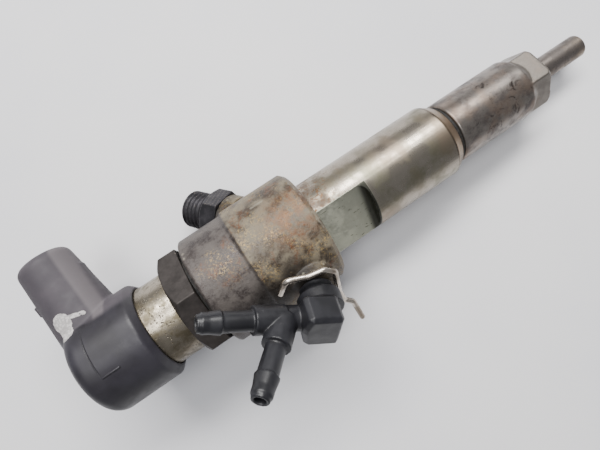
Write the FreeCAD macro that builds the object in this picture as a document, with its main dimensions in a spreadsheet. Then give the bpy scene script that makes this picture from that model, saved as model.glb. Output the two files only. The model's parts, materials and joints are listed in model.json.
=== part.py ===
"""Piezo common-rail fuel injector, as an assembly of separate pieces.

Frame: X is the injector's axis, +X towards the nozzle tip; +Z is up as the injector lies on a
surface; the origin is on the axis at the nozzle nut's end face, which seals in the cylinder head.
Stations are distances behind that face, so a station of 30 is the plane X = -30.
"""
import FreeCAD
import Part
import math
import os
import Sketcher
from FreeCAD import Placement, Rotation, Vector

SIZES = {
    # Stations along the axis, behind the nut's end face.
    "nozzle_tip": -20.6,
    "nut_shoulder": 2.5,
    "nozzle_rear": 16.0,
    "plate_rear": 19.0,
    "seat_front": 20.2,
    "seat_rear": 22.0,
    "nut_rear": 32.7,
    "body_front": 33.9,
    "spring_end": 45.0,
    "flat_front": 64.5,
    "block_front": 79.8,
    "chamber_front": 85.0,
    "chamber_rear": 89.8,
    "actuator_bore": 93.0,
    "guide_rear": 97.6,
    "lever_front": 98.05,
    "lever_rear": 99.6,
    "plunger_front": 99.7,
    "plunger_rear": 101.5,
    "block_step": 100.0,
    "block_rear": 113.7,
    "hex_front": 114.6,
    "spigot_rear": 117.7,
    "flange_rear": 119.6,
    "hex_rear": 121.1,
    "cap_rim": 129.5,
    "stack_rear": 131.5,
    "tube_rear": 135.0,
    "head_rear": 137.5,
    "cavity_rear": 140.0,
    "cap_end": 149.4,
    # Radii and widths of the turned pieces.
    "shank_radius": 3.5,
    "shank_hole": 4.4,
    "collar_radius": 6.6,
    "nut_radius": 9.44,
    "nut_bore": 6.75,
    "nut_hex": 16.4,
    "nut_hex_length": 7.5,
    "nut_chamfer": 1.0,
    "thread_radius": 7.85,
    "ring_radius": 9.1,
    "neck_radius": 8.4,
    "body_radius": 11.3,
    "body_chamfer": 1.7,
    "body_bevel": 2.9,
    "flat_offset": 7.6,
    "flat_run_out": 2.2,
    "block_radius": 16.6,
    "block_rear_radius": 15.9,
    "block_chamfer": 1.3,
    "spigot_radius": 12.0,
    "hex_width": 27.0,
    "hex_chamfer": 1.6,
    "tube_radius": 11.5,
    "tube_wall": 1.6,
    "cap_radius": 13.8,
    "cap_dome": 3.6,
    "cap_rim_lip": 1.7,
    "fit_gap": 0.05,
    # Needle, piston and valve.
    "needle_radius": 1.6,
    "needle_bore": 1.95,
    "guide_radius": 2.6,
    "pin_radius": 1.4,
    "piston_radius": 2.0,
    "spring_bore": 3.6,
    "chamber_radius": 5.2,
    "actuator_radius": 8.2,
    "stem_radius": 0.95,
    "valve_head": 1.9,
    "stack_width": 8.4,
    # Connector barrel on the cap.
    "barrel_station": 142.9,
    "barrel_lean": 5.0,
    "barrel_start": 8.0,
    "barrel_base": 8.8,
    "barrel_end": 6.9,
    "barrel_reach": 32.1,
    "barrel_round": 2.3,
    "socket_radius": 4.4,
    "socket_depth": 13.0,
    "terminal_gap": 4.0,
    # High-pressure inlet, leaning back along the body and down.
    "inlet_station": 106.6,
    "inlet_side": 25.0,
    "inlet_height": -17.0,
    "inlet_lean": 57.0,
    "inlet_drop": 38.8,
    "inlet_thread": 5.9,
    "inlet_pitch": 1.5,
    "inlet_thread_length": 7.5,
    "inlet_hex": 14.0,
    "inlet_hex_start": 9.1,
    "inlet_hex_end": 15.2,
    "inlet_depth": 21.5,
    "lug_radius": 7.1,
    "lug_start": 15.4,
    "spot_face": 8.7,
    # Return port and the connector in it.
    "port_station": 85.1,
    "port_clock": 38.8,
    "port_lean": 15.4,
    "port_radius": 6.4,
    "port_reach": 18.4,
    "port_depth": 11.0,
    "plug_radius": 3.5,
    "seal_radius": 2.6,
    "collar_gap": 0.4,
    "tee_turn": 36.1,
    "tee_reach": 27.0,
    "tee_neck": 4.3,
    "tee_disc": 5.6,
    "tee_disc_start": 21.4,
    "tee_box_start": 24.6,
    "tee_box_end": 32.0,
    "tee_box_chamfer": 0.9,
    "tee_junction": 10.5,
    "tee_branch": 62.0,
    "tee_tube": 3.4,
    "tee_collar": 7.6,
    "barb_stem": 2.4,
    "barb_flare": 2.8,
    "barb_tip": 2.0,
    "barb_start": 14.7,
    "barb_end": 20.0,
    "hose_bore": 1.3,
    # Retaining clip.
    "wire_radius": 0.75,
    "clip_level": 19.85,
    "clip_bend": 1.6,
}
NUT_CLOCK = 13.0
HEX_CLOCK = -7.0
FLAT_CLOCK = 130.0
PIN_CIRCLE = 5.2
FEED_SIDE = (4.4, -3.6)
TEE_HEAD = [(7.3, -6.4), (7.6, -1.4), (5.2, 4.8), (-4.1, 5.2), (-1.3, -6.4)]
ALONG_X = Rotation(Vector(0, 1, 0), 90)

doc = FreeCAD.newDocument("fuel_injector")
sheet = doc.addObject("Spreadsheet::Sheet", "Dim")
for row, (alias, number) in enumerate(SIZES.items(), start=1):
    sheet.set("A%d" % row, alias)
    sheet.set("B%d" % row, str(number))
    sheet.setAlias("B%d" % row, alias)
doc.recompute()
subparts = []


# ---------------------------------------------------------------- helpers
def measure(expression):
    """The value that an expression of the sheet has now."""
    return float(sheet.evalExpression(expression.replace("Dim.", "")))


def origin_plane(body, role):
    return [f for f in body.Origin.OriginFeatures if f.Role == role][0]


def keep(feature, name):
    """Name a finished piece and list it for writing."""
    feature.Label = name
    subparts.append(feature)
    return feature


def draw_outline(sketch, outline):
    """A closed polygon through (distance, radius) corners, each bound to the sheet."""
    corners = [Vector(measure(x), measure(r), 0) for x, r in outline]
    count = len(corners)
    sketch.addGeometry(
        [Part.LineSegment(corners[i], corners[(i + 1) % count]) for i in range(count)], False
    )
    for i in range(count):
        sketch.addConstraint(Sketcher.Constraint("Coincident", i, 2, (i + 1) % count, 1))
    for i, (x, r) in enumerate(outline):
        for kind, size, now, axis in (
            ("DistanceX", x, corners[i].x, -2),
            ("DistanceY", r, corners[i].y, -1),
        ):
            if size == "0":
                sketch.addConstraint(Sketcher.Constraint("PointOnObject", i, 1, axis))
                continue
            index = sketch.addConstraint(Sketcher.Constraint(kind, -1, 1, i, 1, now))
            sketch.setExpression("Constraints[%d]" % index, size)


def turned(name, rear, outline):
    """A body turned about X; the outline starts at the rear station and runs forward."""
    body = doc.addObject("PartDesign::Body", name)
    sketch = body.newObject("Sketcher::SketchObject", name + "_outline")
    sketch.AttachmentSupport = [(origin_plane(body, "XY_Plane"), "")]
    sketch.MapMode = "FlatFace"
    draw_outline(sketch, outline)
    doc.recompute()
    turn = body.newObject("PartDesign::Revolution", name + "_turn")
    turn.Profile = sketch
    turn.ReferenceAxis = (sketch, ["H_Axis"])
    turn.Angle = 360.0
    body.setExpression("Placement.Base.x", "-(%s)" % rear)
    doc.recompute()
    return body


def ring_edges(shape, radius, station=None):
    """Names of the circular edges of this radius, and of this X where one is given."""
    found = []
    for number, edge in enumerate(shape.Edges, start=1):
        curve = edge.Curve
        if curve.TypeId != "Part::GeomCircle" or abs(curve.Radius - radius) > 1e-3:
            continue
        if station is None or abs(curve.Center.x - station) < 1e-3:
            found.append("Edge%d" % number)
    return found


def rod(name, start, direction, length, radius):
    """A Part::Cylinder from a point along a direction; its sizes are expressions."""
    cylinder = doc.addObject("Part::Cylinder", name)
    cylinder.setExpression("Radius", radius)
    cylinder.setExpression("Height", length)
    cylinder.Placement = Placement(start, Rotation(Vector(0, 0, 1), direction))
    return cylinder


def taper(name, start, direction, length, first, last):
    """A Part::Cone from a point along a direction; its sizes are expressions."""
    cone = doc.addObject("Part::Cone", name)
    cone.setExpression("Radius1", first)
    cone.setExpression("Radius2", last)
    cone.setExpression("Height", length)
    cone.Placement = Placement(start, Rotation(Vector(0, 0, 1), direction))
    return cone


def block(name, corner, sizes):
    """A Part::Box whose three sizes are expressions."""
    box = doc.addObject("Part::Box", name)
    for side, size in zip(("Length", "Width", "Height"), sizes):
        box.setExpression(side, size)
    box.Placement.Base = corner
    return box


def fuse(name, pieces):
    feature = doc.addObject("Part::MultiFuse", name)
    feature.Shapes = pieces
    feature.Refine = True
    return feature


def cut(name, base, tools):
    """The base less the tools, checked to have lost volume."""
    tool = tools[0] if len(tools) == 1 else fuse(name + "_tools", tools)
    feature = doc.addObject("Part::Cut", name)
    feature.Base = base
    feature.Tool = tool
    feature.Refine = True
    doc.recompute()
    if feature.Shape.Volume > base.Shape.Volume - 1e-3:
        raise RuntimeError(name + ": the cut removed nothing")
    return feature


def common(name, first, second):
    feature = doc.addObject("Part::MultiCommon", name)
    feature.Shapes = [first, second]
    return feature


def prism(name, station, length, width, clock):
    """A hexagonal prism along X from a station forward; width is across its flats."""
    hexagon = doc.addObject("Part::Prism", name)
    hexagon.Polygon = 6
    hexagon.setExpression("Circumradius", "(%s) / 2 / cos(30 deg)" % width)
    hexagon.setExpression("Height", length)
    hexagon.Placement = Placement(
        Vector(-measure(station), 0, 0), Rotation(Vector(1, 0, 0), clock) * ALONG_X
    )
    return hexagon


def on_axis(expression):
    return Vector(-measure(expression), 0, 0)


def bent_wire(points, radius, bend):
    """A solid round wire along straight runs that are joined by tangent arcs."""
    edges = []
    last = points[0]
    for before, corner, after in zip(points, points[1:], points[2:]):
        inward = (before - corner).normalize()
        onward = (after - corner).normalize()
        half = inward.getAngle(onward) / 2
        room = 0.45 * min((before - corner).Length, (after - corner).Length)
        reach = min(bend / math.tan(half), room)
        turn_radius = reach * math.tan(half)
        middle = (inward + onward).normalize()
        top = corner + middle * (turn_radius / math.sin(half) - turn_radius)
        edges.append(Part.LineSegment(last, corner + inward * reach).toShape())
        edges.append(Part.Arc(corner + inward * reach, top, corner + onward * reach).toShape())
        last = corner + onward * reach
    edges.append(Part.LineSegment(last, points[-1]).toShape())
    path = Part.Wire(edges)
    section = Part.Wire([Part.makeCircle(radius, points[0], points[1] - points[0])])
    return path.makePipeShell([section], True, True)


def coil(length, turns, radius, wire):
    """A helical spring along +X from the origin, with the wire's centre at this radius."""
    helix = Part.makeHelix(length / turns, length, radius)
    section = Part.Wire([Part.makeCircle(wire, Vector(radius, 0, 0), Vector(0, 1, 0))])
    solid = Part.Wire(helix).makePipeShell([section], True, True)
    solid.rotate(Vector(0, 0, 0), Vector(0, 1, 0), 90)
    return solid


def shaped(name, shape, place):
    feature = doc.addObject("Part::Feature", name)
    feature.Shape = shape
    feature.Placement = place.multiply(feature.Placement)
    return keep(feature, name)


# ---------------------------------------------------------------- frames of the two side ports
def inlet_frame():
    """Axis of the high-pressure inlet: its outer end, and the direction into the block."""
    lean = math.radians(measure("Dim.inlet_lean"))
    drop = math.radians(measure("Dim.inlet_drop"))
    end = Vector(
        -measure("Dim.inlet_station"), measure("Dim.inlet_side"), measure("Dim.inlet_height")
    )
    across = math.sin(lean)
    return end, Vector(math.cos(lean), -across * math.cos(drop), across * math.sin(drop))


def port_frame():
    """The return connector's frame: Z out of the port, X along its through tube."""
    clock = math.radians(measure("Dim.port_clock"))
    lean = math.radians(measure("Dim.port_lean"))
    turn = math.radians(measure("Dim.tee_turn"))
    radial = Vector(0, -math.cos(clock), math.sin(clock))
    outward = radial * math.cos(lean) - Vector(1, 0, 0) * math.sin(lean)
    back = Vector(-1, 0, 0) * math.cos(lean) - radial * math.sin(lean)
    side = back.cross(outward)
    if side.z < 0:
        side = side * -1
    along = back * math.cos(turn) + side * math.sin(turn)
    facing = Rotation(along, outward.cross(along), outward, "ZXY")
    return Placement(on_axis("Dim.port_station"), facing)


def barrel_frame():
    """The socket barrel's frame: Y out of the barrel, Z up, X towards the nozzle."""
    facing = Rotation(Vector(0, 0, 1), measure("Dim.barrel_lean"))
    return Placement(on_axis("Dim.barrel_station"), facing)


INLET_END, INLET_IN = inlet_frame()
BARREL = barrel_frame()
PORT = port_frame()
PORT_OUT = PORT.Rotation.multVec(Vector(0, 0, 1))


# ---------------------------------------------------------------- nozzle end
def nozzle_body():
    """Shank with a domed tip, and the collar that the nut clamps."""
    tip = "Dim.nozzle_rear - Dim.nozzle_tip"
    collar = "Dim.nozzle_rear - Dim.nut_shoulder"
    outline = [
        ("0", "Dim.guide_radius + 0.03"),
        ("0", "Dim.collar_radius"),
        (collar + " - 0.6", "Dim.collar_radius"),
        (collar, "Dim.collar_radius - 0.6"),
        (collar, "Dim.shank_radius"),
        (tip + " - 1.2", "Dim.shank_radius"),
        (tip + " - 0.35", "Dim.shank_radius - 0.9"),
        (tip, "Dim.shank_radius - 2.3"),
        (tip, "0"),
        (tip + " - 1.1", "0"),
        (tip + " - 2.6", "Dim.needle_bore"),
        (collar + " + 1", "Dim.needle_bore"),
        (collar + " - 1", "Dim.guide_radius + 0.9"),
        (collar + " - 3.5", "Dim.guide_radius + 0.9"),
        (collar + " - 4.5", "Dim.guide_radius + 0.03"),
    ]
    body = turned("nozzle_blank", "Dim.nozzle_rear", outline)
    feed = feed_drilling("nozzle_feed", "Dim.nut_shoulder + 3", "Dim.nozzle_rear + 1")
    keep(cut("nozzle_body", body, [feed] + pin_bores("nozzle_pin_bore", "Dim.fit_gap / 2")), "nozzle_body")


def feed_drilling(name, front, rear):
    """High-pressure drilling parallel to the axis between two stations."""
    start = on_axis(rear) + Vector(0, *FEED_SIDE)
    return rod(name, start, Vector(1, 0, 0), "(%s) - (%s)" % (rear, front), "0.9")


def pin_places():
    """The two locating pins stand opposite each other on one circle."""
    for turn in (FLAT_CLOCK, FLAT_CLOCK + 180):
        angle = math.radians(turn)
        yield Vector(0, PIN_CIRCLE * math.cos(angle), PIN_CIRCLE * math.sin(angle))


def pin_bores(name, gap):
    start = on_axis("Dim.plate_rear + 2")
    return [
        rod(name + str(i), start + place, Vector(1, 0, 0), "8", "0.8 + " + gap)
        for i, place in enumerate(pin_places())
    ]


def throttle_plate():
    """Disc between nozzle and body, with the feed hole and the needle's hole."""
    thick = "Dim.plate_rear - Dim.nozzle_rear"
    outline = [
        ("0", "Dim.pin_radius + 0.2"),
        ("0", "Dim.collar_radius - 0.1"),
        (thick, "Dim.collar_radius - 0.1"),
        (thick, "Dim.pin_radius + 0.2"),
    ]
    body = turned("plate_blank", "Dim.plate_rear", outline)
    feed = feed_drilling("plate_feed", "Dim.nozzle_rear - 1", "Dim.plate_rear + 1")
    keep(cut("throttle_plate", body, [feed] + pin_bores("plate_pin_bore", "Dim.fit_gap / 2")),
         "throttle_plate")


def locating_pins():
    pins = [
        rod("locating_pin%d" % i, on_axis("Dim.plate_rear + 1.8") + place, Vector(1, 0, 0), "7.6", "0.8")
        for i, place in enumerate(pin_places())
    ]
    pair = doc.addObject("Part::Compound", "locating_pins")
    pair.Links = pins
    keep(pair, "locating_pins")


def nozzle_needle():
    """Needle with its cone tip, guide land and top pin."""
    whole = "Dim.seat_front - Dim.nozzle_tip"
    outline = [
        ("0", "0"),
        ("0", "Dim.pin_radius"),
        ("Dim.seat_front - Dim.nozzle_rear + 0.6", "Dim.pin_radius"),
        ("Dim.seat_front - Dim.nozzle_rear + 0.6", "Dim.guide_radius"),
        ("Dim.seat_front - Dim.nut_shoulder - 5", "Dim.guide_radius"),
        ("Dim.seat_front - Dim.nut_shoulder - 2.5", "Dim.needle_radius"),
        (whole + " - 2.9", "Dim.needle_radius"),
        (whole + " - 1.35", "0"),
    ]
    keep(turned("nozzle_needle", "Dim.seat_front", outline), "nozzle_needle")


def nozzle_cap_nut():
    """Union nut: hexagon end, shoulder on the nozzle's collar, thread bore behind."""
    whole = "Dim.nut_rear"
    outline = [
        ("0", "Dim.thread_radius + Dim.fit_gap"),
        ("0", "Dim.nut_radius - 0.4"),
        ("0.4", "Dim.nut_radius"),
        (whole + " - Dim.nut_chamfer", "Dim.nut_radius"),
        (whole, "Dim.nut_radius - Dim.nut_chamfer * 0.6"),
        (whole, "Dim.shank_hole + 0.5"),
        (whole + " - 0.5", "Dim.shank_hole"),
        (whole + " - Dim.nut_shoulder", "Dim.shank_hole"),
        (whole + " - Dim.nut_shoulder", "Dim.nut_bore"),
        (whole + " - Dim.plate_rear + 2", "Dim.nut_bore"),
        (whole + " - Dim.plate_rear + 0.5", "Dim.thread_radius + Dim.fit_gap"),
    ]
    blank = turned("nut_blank", "Dim.nut_rear", outline)
    stock = rod("nut_round", on_axis("Dim.nut_rear"), Vector(1, 0, 0),
                "Dim.nut_rear - Dim.nut_hex_length", "Dim.nut_radius + 1")
    hexagon = prism("nut_hexagon", "Dim.nut_hex_length + 0.01", "Dim.nut_hex_length + 0.01",
                    "Dim.nut_hex", NUT_CLOCK)
    run_out = taper("nut_run_out", on_axis("Dim.nut_hex_length"), Vector(1, 0, 0), "2.2",
                    "Dim.nut_radius + 0.01", "Dim.nut_hex / 2")
    keep(common("nozzle_cap_nut", blank, fuse("nut_form", [stock, hexagon, run_out])), "nozzle_cap_nut")


def nut_seal_ring():
    wide = "Dim.body_front - Dim.nut_rear"
    outline = [
        ("0.05", "Dim.neck_radius + 0.02"),
        ("0.05", "Dim.ring_radius - 0.2"),
        ("0.25", "Dim.ring_radius"),
        (wide + " - 0.25", "Dim.ring_radius"),
        (wide + " - 0.05", "Dim.ring_radius - 0.2"),
        (wide + " - 0.05", "Dim.neck_radius + 0.02"),
    ]
    keep(turned("nut_seal_ring", "Dim.body_front", outline), "nut_seal_ring")


# ---------------------------------------------------------------- injector body
def injector_body():
    """Clamped round body, head block with its two side bosses, and threaded ends."""
    rear = "Dim.spigot_rear"

    def ahead(station):
        return rear + " - Dim." + station

    outline = [
        ("0", "Dim.actuator_radius"),
        ("0", "Dim.spigot_radius"),
        (ahead("block_rear"), "Dim.spigot_radius"),
        (ahead("block_rear"), "Dim.block_rear_radius - 0.6"),
        (ahead("block_rear") + " + 0.6", "Dim.block_rear_radius"),
        (ahead("block_step") + " - 0.6", "Dim.block_rear_radius"),
        (ahead("block_step"), "Dim.block_radius"),
        (ahead("block_front") + " - Dim.block_chamfer", "Dim.block_radius"),
        (ahead("block_front"), "Dim.block_radius - Dim.block_chamfer"),
        (ahead("block_front"), "Dim.body_radius"),
        (ahead("body_front") + " - Dim.body_bevel", "Dim.body_radius"),
        (ahead("body_front"), "Dim.body_radius - Dim.body_chamfer"),
        (ahead("body_front"), "Dim.neck_radius"),
        (ahead("nut_rear"), "Dim.neck_radius"),
        (ahead("nut_rear"), "Dim.thread_radius"),
        (ahead("plate_rear"), "Dim.thread_radius"),
        (ahead("plate_rear"), "Dim.spring_bore"),
        (ahead("spring_end"), "Dim.spring_bore"),
        (ahead("spring_end"), "Dim.piston_radius + Dim.fit_gap"),
        (ahead("chamber_front"), "Dim.piston_radius + Dim.fit_gap"),
        (ahead("chamber_front"), "Dim.chamber_radius"),
        (ahead("actuator_bore"), "Dim.chamber_radius"),
        (ahead("actuator_bore"), "Dim.actuator_radius"),
    ]
    turning = turned("body_turning", rear, outline)
    lug = rod("inlet_lug", INLET_END + INLET_IN * measure("Dim.lug_start"), INLET_IN, "4",
              "Dim.lug_radius")
    boss = rod("port_boss", PORT.Base + PORT_OUT * 11, PORT_OUT, "Dim.port_reach - 11",
               "Dim.port_radius")
    whole = fuse("body_forging", [turning, lug, boss])
    tools = [
        rod("port_bore", PORT.Base + PORT_OUT * measure("Dim.port_depth"), PORT_OUT,
            "Dim.port_reach - Dim.port_depth + 1", "Dim.plug_radius + Dim.fit_gap"),
        rod("port_drilling", PORT.Base + PORT_OUT * 4.5, PORT_OUT, "Dim.port_depth - 4", "1"),
        rod("inlet_spot_face", INLET_END, INLET_IN, "Dim.lug_start", "Dim.spot_face"),
        rod("inlet_bore", INLET_END + INLET_IN * (measure("Dim.lug_start") - 1), INLET_IN,
            "Dim.inlet_depth - Dim.lug_start + 1.2", "4.5 + Dim.fit_gap"),
    ]
    tools += feed_legs() + pin_bores("body_pin_bore", "Dim.fit_gap / 2") + clamp_flats()
    keep(cut("injector_body", whole, tools), "injector_body")


def feed_legs():
    """Drillings from the inlet down to the front face, clear of the clamp flats."""
    inner = INLET_END + INLET_IN * (measure("Dim.inlet_depth") + 2.5)
    corner = Vector(-78, *FEED_SIDE)
    mouth = INLET_END + INLET_IN * measure("Dim.inlet_depth")
    first = rod("feed_inlet_leg", mouth, INLET_IN, "2.9", "0.9")
    cross = corner - inner
    second = rod("feed_cross_leg", inner, cross, str(round(cross.Length, 3)), "0.8")
    third = feed_drilling("feed_long_leg", "Dim.plate_rear - 1", "78.5")
    return [first, second, third]


def clamp_flats():
    """Two parallel flats for the clamp's fork, just ahead of the block."""
    tools = []
    for i, turn in enumerate((FLAT_CLOCK, FLAT_CLOCK + 180)):
        box = block("clamp_flat_slab%d" % i, Vector(0, 0, 0),
                    ("Dim.block_front - Dim.flat_front", "6", "40"))
        doc.recompute()
        flat = doc.addObject("Part::Fillet", "clamp_flat%d" % i)
        flat.Base = box
        inner_end = Vector(box.Length.Value, 0, 20)
        radius = measure("Dim.flat_run_out")
        flat.Edges = [
            (number, radius, radius)
            for number, edge in enumerate(box.Shape.Edges, start=1)
            if edge.CenterOfMass.isEqual(inner_end, 1e-3)
        ]
        facing = Rotation(Vector(1, 0, 0), turn)
        offset = Vector(-measure("Dim.block_front"), measure("Dim.flat_offset"), -20)
        flat.Placement = Placement(facing.multVec(offset), facing)
        tools.append(flat)
    return tools


# ---------------------------------------------------------------- control piston, spring and valve
def control_piston():
    outline = [
        ("0", "0"),
        ("0", "Dim.piston_radius - 0.3"),
        ("0.3", "Dim.piston_radius"),
        ("Dim.chamber_front - Dim.seat_rear - 0.3", "Dim.piston_radius"),
        ("Dim.chamber_front - Dim.seat_rear - 0.3", "0"),
    ]
    keep(turned("control_piston", "Dim.chamber_front - 0.3", outline), "control_piston")


def spring_seat():
    thick = "Dim.seat_rear - Dim.seat_front"
    outline = [("0", "0"), ("0", "3.3"), (thick, "3.3"), (thick, "0")]
    keep(turned("spring_seat", "Dim.seat_rear", outline), "spring_seat")


def springs():
    """Closing springs of the needle and of the control valve."""
    seat = measure("Dim.seat_rear")
    needle_length = measure("Dim.spring_end") - seat
    shaped("needle_spring", coil(needle_length - 1.6, 9.0, 2.8, 0.45),
           Placement(Vector(-seat - needle_length + 0.5, 0, 0), Rotation()))
    shaped("valve_spring", coil(2.5, 4.0, 1.3, 0.22),
           Placement(Vector(-measure("Dim.chamber_front") - 2.9, 0, 0), Rotation()))


def valve_seat_plate():
    thick = "Dim.actuator_bore - Dim.chamber_rear"
    outline = [
        ("0", "Dim.stem_radius + Dim.fit_gap"),
        ("0", "Dim.chamber_radius - 0.02"),
        (thick, "Dim.chamber_radius - 0.02"),
        (thick, "Dim.stem_radius + Dim.fit_gap"),
    ]
    keep(turned("valve_seat_plate", "Dim.actuator_bore", outline), "valve_seat_plate")


def control_valve():
    """Mushroom valve that opens forward, off the seat plate."""
    stem = "Dim.actuator_bore + 0.4 - Dim.chamber_rear + 0.02"
    outline = [
        ("0", "0"),
        ("0", "Dim.stem_radius"),
        (stem, "Dim.stem_radius"),
        (stem, "Dim.valve_head - 0.2"),
        (stem + " + 0.3", "Dim.valve_head"),
        (stem + " + 1.1", "Dim.valve_head"),
        (stem + " + 1.1", "0"),
    ]
    keep(turned("control_valve", "Dim.actuator_bore + 0.4", outline), "control_valve")


def valve_guide():
    thick = "Dim.guide_rear - Dim.actuator_bore"
    outline = [
        ("0", "Dim.piston_radius + Dim.fit_gap"),
        ("0", "Dim.actuator_radius - 0.02"),
        (thick, "Dim.actuator_radius - 0.02"),
        (thick, "Dim.piston_radius + Dim.fit_gap"),
    ]
    keep(turned("valve_guide", "Dim.guide_rear", outline), "valve_guide")


def valve_piston():
    long = "Dim.lever_front - 0.05 - Dim.actuator_bore - 0.4"
    outline = [("0", "0"), ("0", "Dim.piston_radius"), (long, "Dim.piston_radius"), (long, "0")]
    keep(turned("valve_piston", "Dim.lever_front - 0.05", outline), "valve_piston")


def transmission_levers():
    """Two half-round levers side by side, which double the actuator's stroke."""
    disc = rod("lever_disc", on_axis("Dim.lever_rear"), Vector(1, 0, 0),
               "Dim.lever_rear - Dim.lever_front", "6.4")
    slot = block("lever_slot", Vector(-measure("Dim.lever_rear") - 1, -0.4, -10), ("4", "0.8", "20"))
    keep(cut("transmission_levers", disc, [slot]), "transmission_levers")


# ---------------------------------------------------------------- piezo actuator
def actuator_plunger():
    thick = "Dim.plunger_rear - Dim.plunger_front"
    outline = [("0", "0"), ("0", "6"), (thick, "6"), (thick, "0")]
    keep(turned("actuator_plunger", "Dim.plunger_rear", outline), "actuator_plunger")


def piezo_stack():
    """Square stack of ceramic layers, drawn as one block."""
    body = doc.addObject("PartDesign::Body", "piezo_stack")
    sketch = body.newObject("Sketcher::SketchObject", "stack_section")
    sketch.AttachmentSupport = [(origin_plane(body, "YZ_Plane"), "")]
    sketch.MapMode = "FlatFace"
    half = measure("Dim.stack_width") / 2
    corners = [Vector(x * half, y * half, 0) for x, y in ((-1, -1), (1, -1), (1, 1), (-1, 1))]
    sketch.addGeometry([Part.LineSegment(corners[i], corners[(i + 1) % 4]) for i in range(4)], False)
    for i in range(4):
        sketch.addConstraint(Sketcher.Constraint("Coincident", i, 2, (i + 1) % 4, 1))
        sketch.addConstraint(Sketcher.Constraint("Vertical" if i % 2 else "Horizontal", i))
    sketch.addConstraint(Sketcher.Constraint("Symmetric", 0, 1, 1, 2, -1, 1))
    for line in (0, 1):
        index = sketch.addConstraint(Sketcher.Constraint("Distance", line, 2 * half))
        sketch.setExpression("Constraints[%d]" % index, "Dim.stack_width")
    doc.recompute()
    pad = body.newObject("PartDesign::Pad", "stack_pad")
    pad.Profile = sketch
    pad.setExpression("Length", "Dim.stack_rear - Dim.plunger_rear - 0.1")
    body.setExpression("Placement.Base.x", "-Dim.stack_rear")
    keep(body, "piezo_stack")


def piezo_tube_spring():
    """Slotted sleeve that holds the stack in compression."""
    long = "Dim.stack_rear - Dim.plunger_rear - 0.1"
    outline = [("0", "6.3"), ("0", "6.9"), (long, "6.9"), (long, "6.3")]
    sleeve = turned("sleeve_blank", "Dim.stack_rear", outline)
    slots = []
    for row in range(5):
        for turn in range(3):
            facing = Rotation(Vector(1, 0, 0), 120 * turn + 60 * (row % 2))
            slot = block("sleeve_slot_%d_%d" % (row, turn), Vector(0, 0, 0), ("1.2", "8", "6"))
            offset = facing.multVec(Vector(-measure("Dim.stack_rear") + 3.5 + 5 * row, -4, 4))
            slot.Placement = Placement(offset, facing)
            slots.append(slot)
    keep(cut("piezo_tube_spring", sleeve, slots), "piezo_tube_spring")


def actuator_head():
    """Closing plug of the actuator, with a round boss for the leads."""
    thick = "Dim.head_rear - Dim.stack_rear"
    outline = [
        ("0", "0"),
        ("0", "5"),
        ("2", "5"),
        ("2", "Dim.tube_radius - Dim.tube_wall - 0.02"),
        (thick, "Dim.tube_radius - Dim.tube_wall - 0.02"),
        (thick, "0"),
    ]
    keep(turned("actuator_head", "Dim.head_rear", outline), "actuator_head")


def actuator_tube():
    """Sleeve with the flange that the hexagon nut clamps, and a groove for the cap's seal."""
    rear = "Dim.tube_rear"
    groove = rear + " - Dim.cap_rim - 3.5"
    outline = [
        ("0", "Dim.tube_radius - Dim.tube_wall"),
        ("0", "Dim.tube_radius - 0.4"),
        ("0.4", "Dim.tube_radius"),
        (groove, "Dim.tube_radius"),
        (groove, "Dim.tube_radius - 0.9"),
        (groove + " + 1.6", "Dim.tube_radius - 0.9"),
        (groove + " + 1.6", "Dim.tube_radius"),
        (rear + " - Dim.flange_rear", "Dim.tube_radius"),
        (rear + " - Dim.flange_rear", "Dim.spigot_radius"),
        (rear + " - Dim.spigot_rear - 0.05", "Dim.spigot_radius"),
        (rear + " - Dim.spigot_rear - 0.05", "Dim.tube_radius - Dim.tube_wall"),
    ]
    keep(turned("actuator_tube", rear, outline), "actuator_tube")


def actuator_hex_nut():
    """Union nut that holds the actuator on the body."""
    long = "Dim.hex_rear - Dim.hex_front"
    corner = "Dim.hex_width / 2 / cos(30 deg)"
    inner = "Dim.hex_rear - Dim.flange_rear"
    outline = [
        ("0", "Dim.tube_radius + Dim.fit_gap"),
        ("0", corner + " - Dim.hex_chamfer * 1.3"),
        ("Dim.hex_chamfer", corner + " + 0.01"),
        (long, corner + " + 0.01"),
        (long, "Dim.spigot_radius + Dim.fit_gap"),
        (inner, "Dim.spigot_radius + Dim.fit_gap"),
        (inner, "Dim.tube_radius + Dim.fit_gap"),
    ]
    blank = turned("hex_blank", "Dim.hex_rear", outline)
    hexagon = prism("hex_prism", "Dim.hex_rear", long, "Dim.hex_width", HEX_CLOCK)
    keep(common("actuator_hex_nut", blank, hexagon), "actuator_hex_nut")


def actuator_seal():
    wide = "Dim.hex_front - Dim.block_rear"
    outline = [
        ("0.05", "Dim.spigot_radius + Dim.fit_gap"),
        ("0.05", "Dim.spigot_radius + 1.3"),
        (wide + " - 0.05", "Dim.spigot_radius + 1.3"),
        (wide + " - 0.05", "Dim.spigot_radius + Dim.fit_gap"),
    ]
    keep(turned("actuator_seal", "Dim.hex_front", outline), "actuator_seal")


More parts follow.
